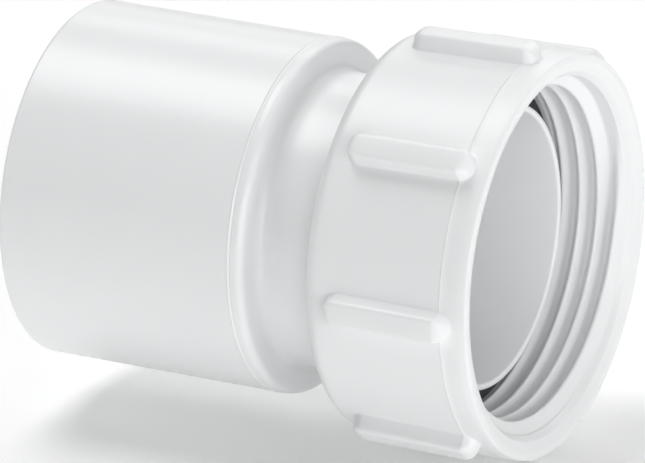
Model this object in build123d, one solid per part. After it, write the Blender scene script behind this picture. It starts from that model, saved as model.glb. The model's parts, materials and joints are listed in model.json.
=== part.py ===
from build123d import *
import os

# A union fitting: a solvent-weld pipe socket whose tail carries a captive, ribbed union nut
# with a G 1 1/4 female thread, and a flat rubber washer that the nut pulls against its mate.
#
# Millimetres. +X is the fitting's axis, from the socket mouth towards the nut mouth. +Z is up.
# The origin is the centre of the socket mouth.

os.makedirs("parts", exist_ok=True)

# Small moulded edges, and how far a cutting tool reaches past what it cuts
EDGE_ROUNDING = 0.3
FINE_ROUNDING = 0.2
TOOL_OVERCUT = 1.0

# Pipe socket, for 36.3 mm waste pipe, which is the nominal 32 mm size
PIPE_R = 36.3 / 2
SOCKET_BORE_R = PIPE_R + 0.10
SOCKET_WALL = 2.68
SOCKET_OUTER_R = SOCKET_BORE_R + SOCKET_WALL
SOCKET_DEPTH = 28.0
MOUTH_LEAD_IN = 0.4
WITNESS_X = 29.86
WITNESS_HEIGHT = 0.08
WITNESS_HALF_WIDTH = 0.25
MOUTH_ROUNDING = 0.4
SHOULDER_X = 31.58
SHOULDER_SETBACK = 0.10
SHOULDER_ROUNDING = 0.86

# Tail: the neck, the flange that keeps the nut on, and the lip that centres the washer
NECK_R = 17.23
NECK_ROOT_ROUNDING = 1.15
TAIL_BORE_R = 15.98
FLANGE_R = 18.4
FLANGE_BACK_X = 45.36
FLANGE_FRONT_X = 48.96
LIP_R = 16.75
LIP_END_X = 54.14

# Washer
WASHER_CLEARANCE = 0.03
WASHER_THICKNESS = 2.9
WASHER_OUTER_R = 19.4
WASHER_ROUNDING = 0.25

# G 1 1/4 thread, 11 turns to the inch
THREAD_PITCH = 25.4 / 11
THREAD_MAJOR_R = 41.91 / 2
THREAD_MINOR_R = 38.952 / 2
THREAD_LAND = THREAD_PITCH / 6
ROOT_ROUNDING = 0.15
ROOT_X_AT_PLUS_Y = 58.53
GROOVE_START_X = 52.0
GROOVE_END_X = 63.2
GROOVE_OVERCUT = 0.3

# Union nut
NUT_BACK_X = 40.6
NUT_FRONT_X = 61.58
NUT_OPENING_R = 17.8
OPENING_LEAD_IN = 0.6
NUT_SEAT_X = 45.12
SEAT_ROUNDING = 0.5
RELIEF_R = 19.73
RELIEF_END_X = 52.0
THREAD_START_X = 52.6
THREAD_END_X = 59.6
COUNTERBORE_R = 21.02
COUNTERBORE_X = 60.34
MOUTH_EDGE_X = 61.09
MOUTH_EDGE_R = 21.52
FACE_INNER_R = 22.8
BODY_BACK_R = 23.38
BACK_ROUNDING = 1.92
BODY_FRONT_R = 23.86
FRONT_TAPER = 0.22
FRONT_ROUNDING = 0.3
PARTING_X = 58.37
PARTING_HEIGHT = 0.10
PARTING_HALF_WIDTH = 0.30

# Grip ribs on the nut
RIB_COUNT = 8
RIB_FIRST_ANGLE = 2.8
RIB_WIDTH = 3.65
RIB_BACK_X = 43.68
RIB_FRONT_X = 59.81
RIB_ROOT_R = 22.56
RIB_CLEAR_R = 23.62
RIB_BACK_CREST_R = 25.54
RIB_CREST_R = 25.82
RIB_BACK_ROUNDING = 1.82
RIB_NOSE_ROUNDING = 1.63
RIB_PLAN_ROUNDING = 1.73
RIB_CREST_ROUNDING = 0.58


def turned(corners):
    """A ring or tube about the X axis, from its outline's (x, radius, rounding) corners."""
    points = [(x, r) for x, r, rounding in corners]
    roundings = [rounding for x, r, rounding in corners]
    outline = FilletPolyline(*points, radius=roundings, close=True)
    return revolve(make_face(outline), axis=Axis.X)


def bead(x, r, height, half_width):
    """Outline corners of the fine raised line that a mould's parting leaves at x."""
    return [(x - half_width, r, 0), (x, r + height, 0), (x + half_width, r, 0)]


def socket_body():
    """Socket, shoulder, neck, nut-retaining flange and lip, in one moulding."""
    return turned(
        [
            (MOUTH_LEAD_IN, SOCKET_BORE_R, 0),
            (0, SOCKET_BORE_R + MOUTH_LEAD_IN, 0),
            (0, SOCKET_OUTER_R, MOUTH_ROUNDING),
            *bead(WITNESS_X, SOCKET_OUTER_R, WITNESS_HEIGHT, WITNESS_HALF_WIDTH),
            (SHOULDER_X, SOCKET_OUTER_R - SHOULDER_SETBACK, SHOULDER_ROUNDING),
            (SHOULDER_X, NECK_R, NECK_ROOT_ROUNDING),
            (FLANGE_BACK_X, NECK_R, EDGE_ROUNDING),
            (FLANGE_BACK_X, FLANGE_R, FINE_ROUNDING),
            (FLANGE_FRONT_X, FLANGE_R, EDGE_ROUNDING),
            (FLANGE_FRONT_X, LIP_R, 0),
            (LIP_END_X, LIP_R, EDGE_ROUNDING),
            (LIP_END_X, TAIL_BORE_R, EDGE_ROUNDING),
            (SOCKET_DEPTH, TAIL_BORE_R, EDGE_ROUNDING),
            (SOCKET_DEPTH, SOCKET_BORE_R, 0),
        ]
    )


def sealing_washer():
    """Flat rubber ring that stands on the flange, round the lip."""
    inner_r = LIP_R + WASHER_CLEARANCE
    front_x = FLANGE_FRONT_X + WASHER_THICKNESS
    return turned(
        [
            (FLANGE_FRONT_X, inner_r, 0),
            (FLANGE_FRONT_X, WASHER_OUTER_R, WASHER_ROUNDING),
            (front_x, WASHER_OUTER_R, WASHER_ROUNDING),
            (front_x, inner_r, WASHER_ROUNDING),
        ]
    )


def nut_blank():
    """The nut before its thread is cut: bored to the thread's crests right up to its front face."""
    return turned(
        [
            (NUT_BACK_X, NUT_OPENING_R + OPENING_LEAD_IN, 0),
            (NUT_BACK_X, BODY_BACK_R, BACK_ROUNDING),
            *bead(PARTING_X, BODY_FRONT_R, PARTING_HEIGHT, PARTING_HALF_WIDTH),
            (NUT_FRONT_X, BODY_FRONT_R - FRONT_TAPER, FRONT_ROUNDING),
            (NUT_FRONT_X, THREAD_MINOR_R, 0),
            (THREAD_START_X, THREAD_MINOR_R, 0),
            (RELIEF_END_X, RELIEF_R, 0),
            (NUT_SEAT_X, RELIEF_R, SEAT_ROUNDING),
            (NUT_SEAT_X, NUT_OPENING_R, 0),
            (NUT_BACK_X + OPENING_LEAD_IN, NUT_OPENING_R, 0),
        ]
    )


def mouth_recess():
    """The space in front of the thread: it widens in cones, the last one a shallow dish in the face."""
    inside_r = THREAD_MINOR_R - TOOL_OVERCUT
    outside_x = NUT_FRONT_X + TOOL_OVERCUT
    return turned(
        [
            (THREAD_END_X, inside_r, 0),
            (THREAD_END_X, THREAD_MINOR_R, 0),
            (COUNTERBORE_X, COUNTERBORE_R, 0),
            (MOUTH_EDGE_X, MOUTH_EDGE_R, 0),
            (NUT_FRONT_X, FACE_INNER_R, 0),
            (outside_x, FACE_INNER_R, 0),
            (outside_x, inside_r, 0),
        ]
    )


def grip_rib():
    """The rib on top of the nut: rounded in plan and at both ends, with a crest that rises forward."""
    middle_x = (RIB_BACK_X + RIB_FRONT_X) / 2
    length = RIB_FRONT_X - RIB_BACK_X
    plan = Pos(middle_x, 0) * RectangleRounded(length, RIB_WIDTH, RIB_PLAN_ROUNDING)
    column = Pos(0, 0, RIB_ROOT_R) * extrude(plan, RIB_CREST_R)
    side = FilletPolyline(
        (RIB_BACK_X, RIB_ROOT_R),
        (RIB_BACK_X, RIB_BACK_CREST_R),
        (RIB_FRONT_X, RIB_CREST_R),
        (RIB_FRONT_X, RIB_ROOT_R),
        radius=[0, RIB_BACK_ROUNDING, RIB_NOSE_ROUNDING, 0],
        close=True,
    )
    slab = extrude(make_face(Plane.XZ * side), RIB_WIDTH, both=True)
    rib = column & slab
    crest_edges = rib.edges().filter_by(lambda e: e.center().Z > RIB_CLEAR_R)
    return fillet(crest_edges, RIB_CREST_ROUNDING)


def thread_groove():
    """The helical space between the nut's thread ridges, which the mating thread fills."""
    mouth_half = (THREAD_PITCH - THREAD_LAND) / 2
    root_half = THREAD_LAND / 2
    flank_slope = (mouth_half - root_half) / (THREAD_MAJOR_R - THREAD_MINOR_R)
    inner_r = THREAD_MINOR_R - GROOVE_OVERCUT
    inner_half = mouth_half + flank_slope * GROOVE_OVERCUT
    section = FilletPolyline(
        (inner_r, -inner_half),
        (THREAD_MAJOR_R, -root_half),
        (THREAD_MAJOR_R, root_half),
        (inner_r, inner_half),
        radius=[0, ROOT_ROUNDING, ROOT_ROUNDING, 0],
        close=True,
    )
    path = Helix(THREAD_PITCH, GROOVE_END_X - GROOVE_START_X, THREAD_MINOR_R)
    groove = sweep(Plane.XZ * make_face(section), path, is_frenet=True)
    start_angle = (GROOVE_START_X - ROOT_X_AT_PLUS_Y) / THREAD_PITCH * 360
    along_x = Plane(origin=(GROOVE_START_X, 0, 0), x_dir=(0, 1, 0), z_dir=(1, 0, 0))
    return Rot(X=start_angle) * along_x.location * groove


def union_nut():
    """Ribbed nut with its thread cut last, so that the ridges run out at the counterbore."""
    nut = nut_blank()
    for index in range(RIB_COUNT):
        angle = RIB_FIRST_ANGLE + index * 360 / RIB_COUNT
        nut += Rot(X=angle) * grip_rib()
    nut -= thread_groove()
    return nut - mouth_recess()


export_step(socket_body(), "parts/socket_body.step")
export_step(sealing_washer(), "parts/sealing_washer.step")
export_step(union_nut(), "parts/union_nut.step")
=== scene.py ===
import json
import math

import bmesh
import bpy
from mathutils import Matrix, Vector


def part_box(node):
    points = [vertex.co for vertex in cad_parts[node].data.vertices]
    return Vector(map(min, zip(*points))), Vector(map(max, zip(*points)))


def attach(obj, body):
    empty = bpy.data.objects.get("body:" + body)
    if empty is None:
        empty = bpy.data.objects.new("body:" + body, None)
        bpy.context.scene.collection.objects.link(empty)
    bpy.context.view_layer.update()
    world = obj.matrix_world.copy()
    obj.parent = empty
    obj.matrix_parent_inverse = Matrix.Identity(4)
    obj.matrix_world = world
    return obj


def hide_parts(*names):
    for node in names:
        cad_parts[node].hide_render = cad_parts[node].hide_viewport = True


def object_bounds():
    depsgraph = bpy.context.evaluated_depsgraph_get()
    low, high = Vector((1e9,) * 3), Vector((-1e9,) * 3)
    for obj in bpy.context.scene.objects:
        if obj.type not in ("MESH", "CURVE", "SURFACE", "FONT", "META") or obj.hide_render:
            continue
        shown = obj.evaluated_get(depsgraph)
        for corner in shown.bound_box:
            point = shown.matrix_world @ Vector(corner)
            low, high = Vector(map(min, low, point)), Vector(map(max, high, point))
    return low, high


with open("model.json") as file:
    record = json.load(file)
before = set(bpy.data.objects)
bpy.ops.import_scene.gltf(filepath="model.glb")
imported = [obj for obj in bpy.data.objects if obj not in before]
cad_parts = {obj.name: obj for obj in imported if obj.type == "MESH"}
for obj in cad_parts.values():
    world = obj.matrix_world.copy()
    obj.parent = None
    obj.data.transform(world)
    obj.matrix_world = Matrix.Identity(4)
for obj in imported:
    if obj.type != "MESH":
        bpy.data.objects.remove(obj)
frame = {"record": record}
cad_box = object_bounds()

# The union fitting's visual model. Each of its three pieces is turned about the X axis from an
# outline of (x, radius) points in millimetres; the nut also gets its ribs and its thread.
# An angle is counted from +Z towards -Y, the side that the camera is on.

MM = 0.001
WHOLE_TURN = 2 * math.pi

# Roundings of small moulded edges
EDGE_ROUNDING = 0.3
FINE_ROUNDING = 0.15
SHARP_ROUNDING = 0.1


def mount_radius(name):
    """A round mount's radius in millimetres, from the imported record."""
    return next(m for m in frame["record"]["mounts"] if m["name"] == name)["dims"]["r_mm"]


def box_mm(node):
    """A CAD node's lowest and highest corners, in millimetres."""
    low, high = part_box(node)
    return low / MM, high / MM


body_high = box_mm("socket_body")[1]
washer_low, washer_high = box_mm("sealing_washer")
nut_low, nut_high = box_mm("union_nut")

# Socket body
SOCKET_BORE_R = mount_radius("pipe_socket")
SOCKET_WALL = 2.68
SOCKET_OUTER_R = SOCKET_BORE_R + SOCKET_WALL
SOCKET_DEPTH = 28.0
MOUTH_LEAD_IN = 0.4
MOUTH_ROUNDING = 0.4
WITNESS_X = 29.86
WITNESS_HEIGHT = 0.07
WITNESS_HALF_WIDTH = 0.15
WITNESS_FOOT_ROUNDING = 0.08
WITNESS_CREST_ROUNDING = 0.04
DIP_X = WITNESS_X + 0.22
DIP_DEPTH = 0.06
DIP_END_X = WITNESS_X + 0.4
DIP_END_DEPTH = 0.02
DIP_ROUNDING = 0.05
SHOULDER_X = 31.58
SHOULDER_SETBACK = 0.1
SHOULDER_ROUNDING = 0.86
NECK_R = 17.23
NECK_ROOT_ROUNDING = 1.15
TAIL_BORE_R = 15.98
FLANGE_R = 18.4
FLANGE_BACK_ROUNDING = 0.2
FLANGE_FRONT_ROUNDING = 0.4
FLANGE_BACK_X = 45.36
FLANGE_FRONT_X = washer_low.x
LIP_R = 16.75
LIP_END_X = body_high.x

# Washer
WASHER_OUTER_R = washer_high.y
WASHER_CLEARANCE = 0.03
WASHER_ROUNDING = 0.25

# Nut
NUT_BACK_X = nut_low.x
NUT_FRONT_X = nut_high.x
NUT_OPENING_R = 17.8
OPENING_LEAD_IN = 0.6
OPENING_INNER_ROUNDING = 0.2
BACK_ROUNDING = 1.92
SEAT_ROUNDING = 0.5
NUT_SEAT_X = 45.12
RELIEF_R = 19.73
RELIEF_END_X = 52.0
LAST_FULL_CREST_X = 59.58
LAST_CREST_X = 59.9
COUNTERBORE_R = 21.02
COUNTERBORE_X = 60.34
MOUTH_EDGE_X = 61.09
MOUTH_EDGE_R = 21.52
FACE_INNER_R = 22.8
DISH_ROUNDING = 0.5
MOUTH_EDGE_ROUNDING = 0.3
BODY_BACK_R = 23.38
BODY_FRONT_R = 23.86
FRONT_TAPER = 0.22
PARTING_X = 58.37
PARTING_HEIGHT = 0.06
PARTING_HALF_WIDTH = 0.15
FRONT_ROUNDING = 0.3
FRONT_EASE_X = 59.75

# Thread, with the rounded 55 degree form of a pipe thread
PITCH = 25.4 / 11
THREAD_CREST_R = mount_radius("nut_thread")
THREAD_ROOT_R = 41.91 / 2
THREAD_ROUNDING = 0.137329 * PITCH
FLANK_ANGLE = math.radians(27.5)
ROOT_X_AT_PLUS_Y = 58.53

# Grip ribs
RIB_COUNT = 8
RIB_FIRST_ANGLE = math.radians(2.8)
RIB_HALF_WIDTH = 1.56
RIB_BACK_X = 43.97
RIB_FRONT_X = 59.71
RIB_BACK_CREST = 25.54
RIB_CREST = 25.76
RIB_BACK_ROUNDING = 1.82
RIB_BACK_ROUND_X = 45.41
RIB_NOSE_ROUNDING = 1.63
RIB_NOSE_ROUND_X = 58.03
RIB_PLAN_ROUNDING = 1.54
RIB_CREST_ROUNDING = 0.58
RIB_FOOT_ROUNDING = 0.2
RIB_DRAFT = 0.15
RIB_CROWN = 0.02
RIB_HEIGHT = RIB_CREST - BODY_FRONT_R


def mix(a, b, share):
    """The value that lies that share of the way from a to b."""
    return a + (b - a) * share


def smooth_step(low, high, value):
    """0 below low, 1 above high, and an S curve between them."""
    t = min(max((value - low) / (high - low), 0.0), 1.0)
    return t * t * (3 - 2 * t)


# Outlines


def corner_arc(before, corner, after, radius, segments):
    """Points of the arc that rounds a corner, from one side's tangent point to the other's."""
    to_before = (Vector(before) - Vector(corner)).normalized()
    to_after = (Vector(after) - Vector(corner)).normalized()
    half = to_before.angle(to_after) / 2
    middle = (to_before + to_after).normalized()
    centre = Vector(corner) + middle * (radius / math.sin(half))
    start = Vector(corner) + to_before * (radius / math.tan(half)) - centre
    end = Vector(corner) + to_after * (radius / math.tan(half)) - centre
    sweep = math.pi - 2 * half
    points = []
    for i in range(segments + 1):
        share = i / segments
        a = math.sin((1 - share) * sweep) / math.sin(sweep)
        b = math.sin(share * sweep) / math.sin(sweep)
        points.append(centre + start * a + end * b)
    return points


def with_support(points, edge=0.12, longest=4.0):
    """Adds points near both ends of each straight run, and along it, so that its shading is flat."""
    result = [points[0]]
    for a, b in zip(points, points[1:]):
        length = (b - a).length
        if length > 4 * edge:
            cells = math.ceil(length / longest)
            shares = [edge / length] + [i / cells for i in range(1, cells)] + [1 - edge / length]
            result += [a.lerp(b, share) for share in shares]
        result.append(b)
    return result


def rounded(corners, closed=False, segments=6):
    """A smooth outline from (x, radius, rounding) corners."""
    plain = [Vector((x, r)) for x, r, rounding in corners]
    points = []
    for i, (x, r, rounding) in enumerate(corners):
        if rounding:
            after = plain[(i + 1) % len(plain)]
            points += corner_arc(plain[i - 1], plain[i], after, rounding, segments)
        else:
            points.append(plain[i])
    if closed:
        points = with_support(points + points[:1])[:-1]
    else:
        points = with_support(points)
    return [tuple(p) for p in points]


# Meshes


def at(x, r, angle):
    """The point at that place along the axis, radius and angle, in metres."""
    return Vector((x, -r * math.sin(angle), r * math.cos(angle))) * MM


def make_columns(bm, outline, angles, radius_at):
    """One column of vertices for each angle. radius_at gives the radius of an outline's point."""
    return [[bm.verts.new(at(x, radius_at(x, r, a), a)) for x, r in outline] for a in angles]


def bridge(bm, columns, leave_out=frozenset()):
    """Faces between neighbouring columns, apart from the (column, row) cells to leave out."""
    rows = len(columns[0])
    for i, column in enumerate(columns):
        beside = columns[(i + 1) % len(columns)]
        for j in range(rows):
            if (i, j) not in leave_out:
                k = (j + 1) % rows
                bm.faces.new((column[j], column[k], beside[k], beside[j]))


def make_object(name, bm):
    """A smooth-shaded object from a finished bmesh."""
    loose = [v for v in bm.verts if not v.link_faces]
    bmesh.ops.delete(bm, geom=loose, context="VERTS")
    bmesh.ops.recalc_face_normals(bm, faces=bm.faces)
    mesh = bpy.data.meshes.new(name)
    bm.to_mesh(mesh)
    bm.free()
    mesh.shade_smooth()
    piece = bpy.data.objects.new(name, mesh)
    bpy.context.scene.collection.objects.link(piece)
    return piece


def turned(name, corners, columns=192):
    """A ring or tube about the X axis, from the corners of its closed outline."""
    bm = bmesh.new()
    angles = [i * WHOLE_TURN / columns for i in range(columns)]
    outline = rounded(corners, closed=True)
    bridge(bm, make_columns(bm, outline, angles, lambda x, r, angle: r))
    return make_object(name, bm)


def socket_body():
    """Socket, shoulder, neck, flange and lip. A fine raised line goes round near the shoulder."""
    return turned(
        "socket_body_visual",
        [
            (MOUTH_LEAD_IN, SOCKET_BORE_R, SHARP_ROUNDING),
            (0, SOCKET_BORE_R + MOUTH_LEAD_IN, FINE_ROUNDING),
            (0, SOCKET_OUTER_R, MOUTH_ROUNDING),
            (WITNESS_X - WITNESS_HALF_WIDTH, SOCKET_OUTER_R, WITNESS_FOOT_ROUNDING),
            (WITNESS_X, SOCKET_OUTER_R + WITNESS_HEIGHT, WITNESS_CREST_ROUNDING),
            (DIP_X, SOCKET_OUTER_R - DIP_DEPTH, DIP_ROUNDING),
            (DIP_END_X, SOCKET_OUTER_R - DIP_END_DEPTH, DIP_ROUNDING),
            (SHOULDER_X, SOCKET_OUTER_R - SHOULDER_SETBACK, SHOULDER_ROUNDING),
            (SHOULDER_X, NECK_R, NECK_ROOT_ROUNDING),
            (FLANGE_BACK_X, NECK_R, EDGE_ROUNDING),
            (FLANGE_BACK_X, FLANGE_R, FLANGE_BACK_ROUNDING),
            (FLANGE_FRONT_X, FLANGE_R, FLANGE_FRONT_ROUNDING),
            (FLANGE_FRONT_X, LIP_R, SHARP_ROUNDING),
            (LIP_END_X, LIP_R, EDGE_ROUNDING),
            (LIP_END_X, TAIL_BORE_R, EDGE_ROUNDING),
            (SOCKET_DEPTH, TAIL_BORE_R, EDGE_ROUNDING),
            (SOCKET_DEPTH, SOCKET_BORE_R, FINE_ROUNDING),
        ],
    )


def sealing_washer():
    """Flat rubber ring that stands on the flange, round the lip."""
    inner_r = LIP_R + WASHER_CLEARANCE
    return turned(
        "sealing_washer_visual",
        [
            (washer_low.x, inner_r, FINE_ROUNDING),
            (washer_low.x, WASHER_OUTER_R, WASHER_ROUNDING),
            (washer_high.x, WASHER_OUTER_R, WASHER_ROUNDING),
            (washer_high.x, inner_r, FINE_ROUNDING),
        ],
    )


# The nut: its outline is turned over columns that are closer together on the ribs. Each rib then
# fills a rectangular gap in the nut's skin with rings of its own rounded plan.

RIB_REACH = math.radians(7.2)
CORNER_CELLS = 3
RIB_CELLS = 2 * CORNER_CELLS + 2
CELLS_BETWEEN_RIBS = 12
STRAIGHT_BACK_X = RIB_BACK_X + RIB_PLAN_ROUNDING
STRAIGHT_FRONT_X = RIB_FRONT_X - RIB_PLAN_ROUNDING
FOOT_PLAN_ROUNDING = RIB_PLAN_ROUNDING + RIB_DRAFT + RIB_FOOT_ROUNDING
GAP_BACK_X = RIB_BACK_X - 1.2
GAP_FRONT_X = RIB_FRONT_X + 0.6
BACK_ROWS = [mix(STRAIGHT_BACK_X, RIB_BACK_X, share) for share in (0.4, 0.8)]
FRONT_ROWS = [PARTING_X + i * PARTING_HALF_WIDTH / 2 for i in (-2, -1, 0, 1, 2)]
FRONT_ROWS.append(mix(PARTING_X, RIB_FRONT_X, 0.6))
THREAD_ROW = 0.06
THREADED = None


def skin_r(x):
    """Radius of the nut's skin: a gentle cone up to the mould's line, which then eases inwards."""
    to_line = min(x, PARTING_X) - NUT_BACK_X
    cone = mix(BODY_BACK_R, BODY_FRONT_R, to_line / (PARTING_X - NUT_BACK_X))
    past_ease = max(0.0, x - FRONT_EASE_X) / (NUT_FRONT_X - FRONT_EASE_X)
    bead = max(0.0, 1 - abs(x - PARTING_X) / PARTING_HALF_WIDTH)
    return cone - FRONT_TAPER * past_ease**2 + PARTING_HEIGHT * bead


def thread_r(x, angle):
    """Radius of the thread's surface: rounded roots, straight flanks and rounded crests."""
    root_x = ROOT_X_AT_PLUS_Y + PITCH * (angle / WHOLE_TURN + 0.25)
    from_root = abs((x - root_x + PITCH / 2) % PITCH - PITCH / 2)
    arc_width = THREAD_ROUNDING * math.cos(FLANK_ANGLE)
    arc_height = THREAD_ROUNDING * (1 - math.sin(FLANK_ANGLE))
    if from_root < arc_width:
        return THREAD_ROOT_R - THREAD_ROUNDING + math.sqrt(THREAD_ROUNDING**2 - from_root**2)
    from_crest = PITCH / 2 - from_root
    if from_crest < arc_width:
        return THREAD_CREST_R + THREAD_ROUNDING - math.sqrt(THREAD_ROUNDING**2 - from_crest**2)
    return THREAD_ROOT_R - arc_height - (from_root - arc_width) / math.tan(FLANK_ANGLE)


def nut_bore_r(x, angle):
    """Radius of the threaded bore. Its ridges fade at both ends, and its roots rise to the relief."""
    root_x = ROOT_X_AT_PLUS_Y + PITCH * (angle / WHOLE_TURN + 0.25)
    crest_x = x - (x - root_x) % PITCH + PITCH / 2
    fade_out = smooth_step(LAST_FULL_CREST_X, LAST_CREST_X, crest_x)
    ridges = mix(thread_r(x, angle), THREAD_ROOT_R, fade_out)
    deepest = mix(RELIEF_R, THREAD_ROOT_R, smooth_step(RELIEF_END_X, RELIEF_END_X + PITCH / 2, x))
    return min(ridges, deepest)


def rib_rows():
    """Places along the nut of the rows of the ribs' gaps, from the back to the front."""
    middle = [mix(STRAIGHT_BACK_X, RIB_NOSE_ROUND_X, i / 5) for i in range(6)]
    return [GAP_BACK_X, *reversed(BACK_ROWS), *middle, STRAIGHT_FRONT_X, *FRONT_ROWS, GAP_FRONT_X]


def nut_outline():
    """The nut's closed outline as points, and the row at which the ribs' gaps start."""
    middle_x = (NUT_BACK_X + NUT_SEAT_X) / 2
    back = rounded(
        [
            (middle_x, NUT_OPENING_R, 0),
            (NUT_BACK_X + OPENING_LEAD_IN, NUT_OPENING_R, SHARP_ROUNDING),
            (NUT_BACK_X, NUT_OPENING_R + OPENING_LEAD_IN, FINE_ROUNDING),
            (NUT_BACK_X, BODY_BACK_R, BACK_ROUNDING),
            (GAP_BACK_X, skin_r(GAP_BACK_X), 0),
        ],
        segments=8,
    )
    eased = [mix(GAP_FRONT_X, NUT_FRONT_X - 2 * FRONT_ROUNDING, i / 4) for i in range(1, 5)]
    ease = [(x, skin_r(x)) for x in eased]
    front = rounded(
        [
            (*ease[-1], 0),
            (NUT_FRONT_X, skin_r(NUT_FRONT_X), FRONT_ROUNDING),
            (NUT_FRONT_X, FACE_INNER_R, DISH_ROUNDING),
            (MOUTH_EDGE_X, MOUTH_EDGE_R, MOUTH_EDGE_ROUNDING),
            (COUNTERBORE_X + 0.05, COUNTERBORE_R, 0),
        ],
        segments=8,
    )
    rows = round((COUNTERBORE_X - RELIEF_END_X) / THREAD_ROW)
    thread = [(mix(COUNTERBORE_X, RELIEF_END_X, i / rows), THREADED) for i in range(rows + 1)]
    inside = rounded(
        [
            (RELIEF_END_X - 0.05, RELIEF_R, 0),
            (NUT_SEAT_X, RELIEF_R, SEAT_ROUNDING),
            (NUT_SEAT_X, NUT_OPENING_R, OPENING_INNER_ROUNDING),
            (middle_x + 0.5, NUT_OPENING_R, 0),
        ]
    )
    skin = [(x, skin_r(x)) for x in rib_rows()]
    return back[:-1] + skin + ease[:-1] + front + thread + inside, len(back) - 1


def nut_angles():
    """The angles of the nut's columns, rib by rib, from each rib's near edge."""
    turn = WHOLE_TURN / RIB_COUNT
    angles = []
    for rib in range(RIB_COUNT):
        start = RIB_FIRST_ANGLE + rib * turn - RIB_REACH
        angles += [start + 2 * RIB_REACH * i / RIB_CELLS for i in range(RIB_CELLS)]
        between = turn - 2 * RIB_REACH
        angles += [
            start + 2 * RIB_REACH + between * i / CELLS_BETWEEN_RIBS
            for i in range(CELLS_BETWEEN_RIBS)
        ]
    return angles


def rib_crest(x):
    """Height of the rib's crest line above the axis: a gentle rise with a rounded end both ways."""
    along = (x - RIB_BACK_ROUND_X) / (RIB_NOSE_ROUND_X - RIB_BACK_ROUND_X)
    crest = mix(RIB_BACK_CREST, RIB_CREST, min(max(along, 0.0), 1.0))
    if x < RIB_BACK_ROUND_X:
        radius, past = RIB_BACK_ROUNDING, RIB_BACK_ROUND_X - x
    else:
        radius, past = RIB_NOSE_ROUNDING, max(x - RIB_NOSE_ROUND_X, 0.0)
    return crest - radius + math.sqrt(max(radius**2 - past**2, 0.0))


def rib_section():
    """(inset from the rib's edge, share of its height) from the foot's rounding up to the crest."""
    points = []
    for i in range(4):
        turn = i / 4 * math.pi / 2
        inset = -RIB_DRAFT - RIB_FOOT_ROUNDING * (1 - math.sin(turn))
        points.append((inset, RIB_FOOT_ROUNDING * (1 - math.cos(turn)) / RIB_HEIGHT))
    points.append((-RIB_DRAFT, RIB_FOOT_ROUNDING / RIB_HEIGHT))
    for i in range(8):
        turn = i / 7 * math.pi / 2
        inset = RIB_CREST_ROUNDING * (1 - math.cos(turn))
        points.append((inset, 1 - RIB_CREST_ROUNDING * (1 - math.sin(turn)) / RIB_HEIGHT))
    return points


def corner_turns(steps):
    """Angles round a corner of the rib's plan: where its foot meets each row, then even ones."""
    turns = [math.asin(step / FOOT_PLAN_ROUNDING) for step in steps]
    left = CORNER_CELLS + 1
    return turns + [mix(turns[-1], math.pi / 2, (i + 1) / left) for i in range(left)]


FRONT_TURNS = corner_turns([x - STRAIGHT_FRONT_X for x in FRONT_ROWS])
BACK_TURNS = corner_turns([STRAIGHT_BACK_X - x for x in BACK_ROWS])
STRAIGHT_ROWS = rib_rows()[len(BACK_ROWS) + 1 : -len(FRONT_ROWS) - 1]
FRONT_TIP = len(STRAIGHT_ROWS) + len(FRONT_TURNS)


def rib_plan(inset):
    """(x, across) points round the rib's plan at that inset, in step with its gap's edge."""
    radius = RIB_PLAN_ROUNDING - inset
    middle = RIB_HALF_WIDTH - RIB_PLAN_ROUNDING
    near = [(x, middle + radius) for x in STRAIGHT_ROWS]
    near += [
        (STRAIGHT_FRONT_X + radius * math.sin(t), middle + radius * math.cos(t))
        for t in FRONT_TURNS
    ]
    back = [
        (STRAIGHT_BACK_X - radius * math.sin(t), -middle - radius * math.cos(t))
        for t in BACK_TURNS
    ]
    front_tip = [(STRAIGHT_FRONT_X + radius, 0.0)]
    back_tip = [(STRAIGHT_BACK_X - radius, 0.0)]
    far = [(x, -across) for x, across in reversed(near)]
    back_near = [(x, -across) for x, across in reversed(back)]
    return near + front_tip + far + back + back_tip + back_near


def add_rib(bm, columns, first_column, first_row, middle_angle):
    """Fills one gap in the nut's skin with a rib."""
    last_column = first_column + RIB_CELLS
    last_row = first_row + len(rib_rows()) - 1
    straight_row = first_row + len(BACK_ROWS) + 1

    def grid(column, row):
        return columns[column % len(columns)][row]

    ring = [grid(last_column, row) for row in range(straight_row, last_row)]
    ring += [grid(column, last_row) for column in range(last_column, first_column, -1)]
    ring += [grid(first_column, row) for row in range(last_row, first_row, -1)]
    ring += [grid(column, first_row) for column in range(first_column, last_column)]
    ring += [grid(last_column, row) for row in range(first_row, straight_row)]

    for inset, share in rib_section():
        above = []
        for x, across in rib_plan(inset):
            foot = math.sqrt(skin_r(x) ** 2 - across**2)
            height = mix(foot, max(rib_crest(x), foot), share)
            angle = middle_angle + math.atan2(across, height)
            above.append(bm.verts.new(at(x, math.hypot(across, height), angle)))
        for i in range(len(ring)):
            k = (i + 1) % len(ring)
            bm.faces.new((ring[i], ring[k], above[k], above[i]))
        ring = above
    close_crest(bm, ring)


def close_crest(bm, ring):
    """Joins the two long sides of the rib's last ring across its slightly crowned crest."""
    half = len(ring) // 2
    rungs = []
    for i in range(1, half):
        a = ring[FRONT_TIP - i]
        b = ring[(FRONT_TIP + i) % len(ring)]
        crown = Vector((0, a.co.y + b.co.y, a.co.z + b.co.z)).normalized() * RIB_CROWN * MM
        rungs.append((a, bm.verts.new((a.co + b.co) / 2 + crown), b))
    for (a, m, b), (c, n, d) in zip(rungs, rungs[1:]):
        bm.faces.new((a, c, n, m))
        bm.faces.new((m, n, d, b))
    for tip, (a, m, b) in ((ring[FRONT_TIP], rungs[0]), (ring[FRONT_TIP - half], rungs[-1])):
        bm.faces.new((tip, a, m))
        bm.faces.new((tip, m, b))


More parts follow.
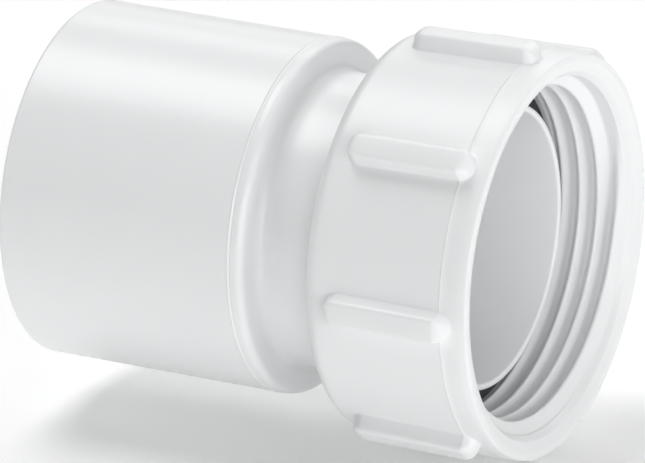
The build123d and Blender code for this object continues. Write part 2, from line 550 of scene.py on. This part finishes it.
def union_nut():
    """The nut's skin, bore and thread in one closed mesh, with its ribs."""
    outline, first_row = nut_outline()

    def radius_at(x, r, angle):
        return nut_bore_r(x, angle) if r is THREADED else r

    bm = bmesh.new()
    columns = make_columns(bm, outline, nut_angles(), radius_at)
    per_rib = RIB_CELLS + CELLS_BETWEEN_RIBS
    gap_rows = range(first_row, first_row + len(rib_rows()) - 1)
    gaps = {
        (rib * per_rib + column, row)
        for rib in range(RIB_COUNT)
        for column in range(RIB_CELLS)
        for row in gap_rows
    }
    bridge(bm, columns, leave_out=gaps)
    for rib in range(RIB_COUNT):
        middle_angle = RIB_FIRST_ANGLE + rib * WHOLE_TURN / RIB_COUNT
        add_rib(bm, columns, rib * per_rib, first_row, middle_angle)
    return make_object("union_nut_visual", bm)


# Materials


def new_material(name):
    """A node material with a principled shader, its node tree and the shader."""
    material = bpy.data.materials.new(name)
    material.use_nodes = True
    tree = material.node_tree
    tree.nodes.clear()
    shader = tree.nodes.new("ShaderNodeBsdfPrincipled")
    output = tree.nodes.new("ShaderNodeOutputMaterial")
    tree.links.new(shader.outputs["BSDF"], output.inputs["Surface"])
    return material, tree, shader


def noise(tree, scale, detail):
    """A noise texture over the piece, with scale in features per metre."""
    place = tree.nodes.new("ShaderNodeTexCoord")
    texture = tree.nodes.new("ShaderNodeTexNoise")
    texture.inputs["Scale"].default_value = scale
    texture.inputs["Detail"].default_value = detail
    tree.links.new(place.outputs["Object"], texture.inputs["Vector"])
    return texture.outputs["Fac"]


def ramp(tree, value, low, high):
    """Maps a noise value from its usual range to low and high."""
    node = tree.nodes.new("ShaderNodeMapRange")
    node.interpolation_type = "SMOOTHSTEP"
    node.inputs["From Min"].default_value = 0.1
    node.inputs["From Max"].default_value = 0.9
    node.inputs["To Min"].default_value = low
    node.inputs["To Max"].default_value = high
    tree.links.new(value, node.inputs["Value"])
    return node.outputs["Result"]


def colour_mix(tree, value, first, second):
    """A colour that goes from first to second with value."""
    node = tree.nodes.new("ShaderNodeMix")
    node.data_type = "RGBA"
    tree.links.new(value, node.inputs["Factor"])
    node.inputs["A"].default_value = (*first, 1)
    node.inputs["B"].default_value = (*second, 1)
    return node.outputs["Result"]


def bump(tree, value, strength, distance, normal=None):
    """A bump of that many metres, on top of an earlier one if given."""
    node = tree.nodes.new("ShaderNodeBump")
    node.inputs["Strength"].default_value = strength
    node.inputs["Distance"].default_value = distance
    tree.links.new(value, node.inputs["Height"])
    if normal:
        tree.links.new(normal, node.inputs["Normal"])
    return node.outputs["Normal"]


def white_plastic(name, first, second, roughness):
    """Injection-moulded white plastic: a soft gloss with faint flow clouds and a very fine grain."""
    material, tree, shader = new_material(name)
    clouds = noise(tree, 90, 3)
    grain = noise(tree, 2600, 2)
    ripple = noise(tree, 180, 1)
    tint = colour_mix(tree, ramp(tree, clouds, 0, 1), first, second)
    tree.links.new(tint, shader.inputs["Base Color"])
    shader.inputs["Roughness"].default_value = roughness
    waves = bump(tree, ripple, 0.1, 0.00002)
    tree.links.new(bump(tree, grain, 0.2, 0.000012, waves), shader.inputs["Normal"])
    shader.inputs["IOR"].default_value = 1.5
    shader.inputs["Subsurface Weight"].default_value = 0.12
    shader.inputs["Subsurface Radius"].default_value = (1.0, 0.95, 0.9)
    shader.inputs["Subsurface Scale"].default_value = 0.0012
    return material


def black_rubber(name):
    """Moulded rubber: matt, nearly black, with a dusty bloom and a fine grain."""
    material, tree, shader = new_material(name)
    bloom = noise(tree, 400, 4)
    grain = noise(tree, 5000, 2)
    dark, light = (0.022, 0.022, 0.024), (0.05, 0.05, 0.053)
    tree.links.new(colour_mix(tree, ramp(tree, bloom, 0, 1), dark, light), shader.inputs["Base Color"])
    tree.links.new(ramp(tree, bloom, 0.62, 0.8), shader.inputs["Roughness"])
    tree.links.new(bump(tree, grain, 0.5, 0.00003), shader.inputs["Normal"])
    return material


def paint(piece, material, body, node):
    """Gives a piece its material and finish, and lets it stand for its CAD node on its body."""
    piece.data.materials.append(material)
    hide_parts(node)
    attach(piece, body)


WHITE = (0.86, 0.87, 0.875)
WHITE_CLOUD = (0.845, 0.855, 0.861)
body_plastic = white_plastic("moulded_white_body", WHITE, WHITE_CLOUD, 0.30)
nut_plastic = white_plastic("moulded_white_nut", WHITE, WHITE_CLOUD, 0.34)
rubber = black_rubber("black_rubber")

paint(socket_body(), body_plastic, "tailpiece", "socket_body")
paint(sealing_washer(), rubber, "tailpiece", "sealing_washer")
paint(union_nut(), nut_plastic, "nut", "union_nut")


# Studio

FLOOR_GLOW = 0.13
STRIP_DISTANCE = 0.8
STRIP_LENGTH = 1.0
STRIP_WIDTH = 0.25


def floor():
    """A wide, plain, nearly white floor just under the fitting."""
    size = 4.0
    z = cad_box[0].z - 0.0002
    mesh = bpy.data.meshes.new("floor")
    corners = [(-size, -size, z), (size, -size, z), (size, size, z), (-size, size, z)]
    mesh.from_pydata(corners, [], [(0, 1, 2, 3)])
    plane = bpy.data.objects.new("floor", mesh)
    bpy.context.scene.collection.objects.link(plane)
    material, tree, shader = new_material("floor")
    tint = colour_mix(tree, noise(tree, 8, 2), (0.9, 0.9, 0.9), (0.92, 0.92, 0.92))
    tree.links.new(tint, shader.inputs["Base Color"])
    shader.inputs["Roughness"].default_value = 0.9
    shader.inputs["Emission Color"].default_value = (1, 1, 1, 1)
    shader.inputs["Emission Strength"].default_value = FLOOR_GLOW
    mesh.materials.append(material)


def area_light(name, place, turn, length, width, power):
    """A rectangular area light at that place, which shines along its own -Z."""
    light = bpy.data.lights.new(name, "AREA")
    light.shape = "RECTANGLE"
    light.size = length
    light.size_y = width
    light.energy = power
    lamp = bpy.data.objects.new(name, light)
    lamp.location = place
    lamp.rotation_euler = turn
    bpy.context.scene.collection.objects.link(lamp)


def softbox(name, azimuth, elevation, distance, size, power):
    """A square area light that faces the fitting from that direction."""
    a = math.radians(azimuth)
    e = math.radians(elevation)
    away = Vector((math.sin(a) * math.cos(e), -math.cos(a) * math.cos(e), math.sin(e)))
    turn = away.to_track_quat("Z", "Y").to_euler()
    area_light(name, centre + away * distance, turn, size, size, power)


def strip(name, angle, power):
    """A long light above and along the fitting, at that angle from +Z towards the camera's side."""
    turn = math.radians(angle)
    away = Vector((0, -math.sin(turn), math.cos(turn)))
    area_light(name, centre + away * STRIP_DISTANCE, (turn, 0, 0), STRIP_LENGTH, STRIP_WIDTH, power)


def sky(strength):
    """Plain white light from all round."""
    world = bpy.data.worlds.new("studio")
    world.use_nodes = True
    background = world.node_tree.nodes["Background"]
    background.inputs["Color"].default_value = (1, 1, 1, 1)
    background.inputs["Strength"].default_value = strength
    bpy.context.scene.world = world


def camera(azimuth, elevation, distance, lens, target):
    """A long lens that looks at target from that direction."""
    a = math.radians(azimuth)
    e = math.radians(elevation)
    away = Vector((math.sin(a) * math.cos(e), -math.cos(a) * math.cos(e), math.sin(e)))
    data = bpy.data.cameras.new("camera")
    data.lens = lens
    data.sensor_width = 36
    data.clip_end = 10
    eye = bpy.data.objects.new("camera", data)
    eye.location = target + away * distance
    eye.rotation_euler = (math.pi / 2 - e, 0, a)
    bpy.context.scene.collection.objects.link(eye)
    bpy.context.scene.camera = eye


centre = (cad_box[0] + cad_box[1]) / 2
camera(27.21, 19.83, 1.0451, 502.3, centre + Vector((0.00058, 0, -0.00182)))
floor()
sky(0.03)
softbox("socket_side_high", -90, 70, 0.9, 0.5, 3.62)
softbox("socket_side", -80, 45, 0.9, 0.5, 0.49)
softbox("mouth_low", 65, 8, 1.0, 0.4, 3.03)
softbox("camera_fill", 27, 12, 1.0, 0.5, 2.93)
softbox("mouth_side", 100, 15, 0.9, 0.5, 0.5)
softbox("mouth_side_high", 95, 45, 0.9, 0.5, 0.33)
softbox("mouth_behind", 135, 30, 0.9, 0.5, 0.23)
strip("strip_far_low", -75, 0.96)
strip("strip_far", -50, 1.87)
strip("strip_far_high", -25, 0.83)
strip("strip_above", 0, 0.55)
bpy.context.scene.view_settings.view_transform = "Standard"
